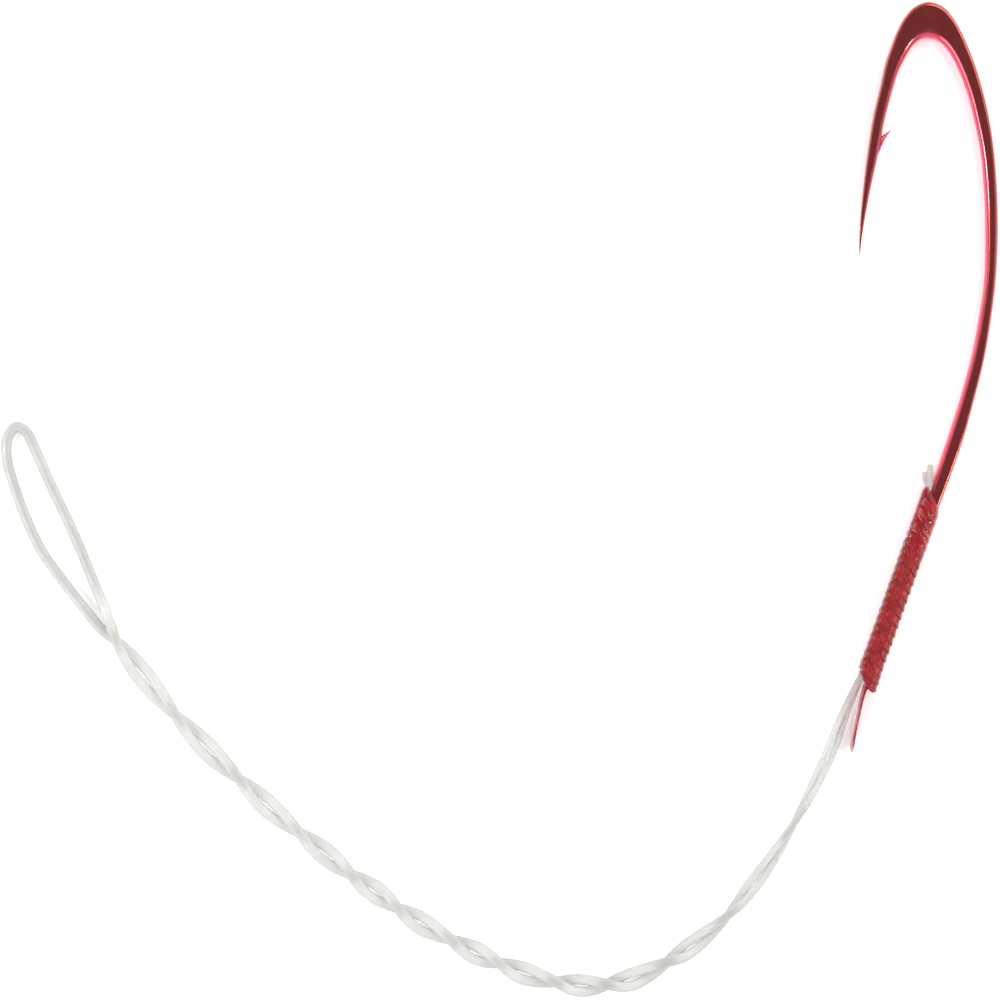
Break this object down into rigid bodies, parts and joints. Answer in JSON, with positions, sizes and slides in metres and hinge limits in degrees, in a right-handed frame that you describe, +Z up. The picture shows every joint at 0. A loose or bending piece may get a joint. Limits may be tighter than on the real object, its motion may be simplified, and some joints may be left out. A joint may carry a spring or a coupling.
{
  "type": "snelled fishing hook",
  "caption": "Barbed spade-end fishing hook whipped with thread to a doubled clear line that is twisted into a leader and ends in a loop.",
  "frame": {"origin": "on the table, under the middle of the hook's outline", "axes": "the hook lies flat: +Y along the shank from the spade end to the bend, +X from the point side to the shank side, +Z up off the table"},
  "size_m": [0.0597, 0.0595, 0.0017],
  "materials": {
    "hook_lacquer": "glossy red lacquer over steel",
    "thread": "glossy red thread, set in varnish",
    "varnish": "clear red-tinted varnish",
    "line": "clear monofilament"
  },
  "bodies": {
    "root": {"hook": "hook_lacquer", "whipping_thread": "thread", "varnish_coat": "varnish", "line_leg_upper": "line", "line_leg_lower": "line"},
    "leader": {"leader_twist": "line", "leader_loop": "line"}
  },
  "joints": [
    {"name": "leader_swing", "type": "hinge", "parent": "root", "child": "leader", "pos_m": [-0.0036, -0.0177, 0.00079], "axis": [0, 0, 1], "range_deg": [-60, 0]}
  ]
}
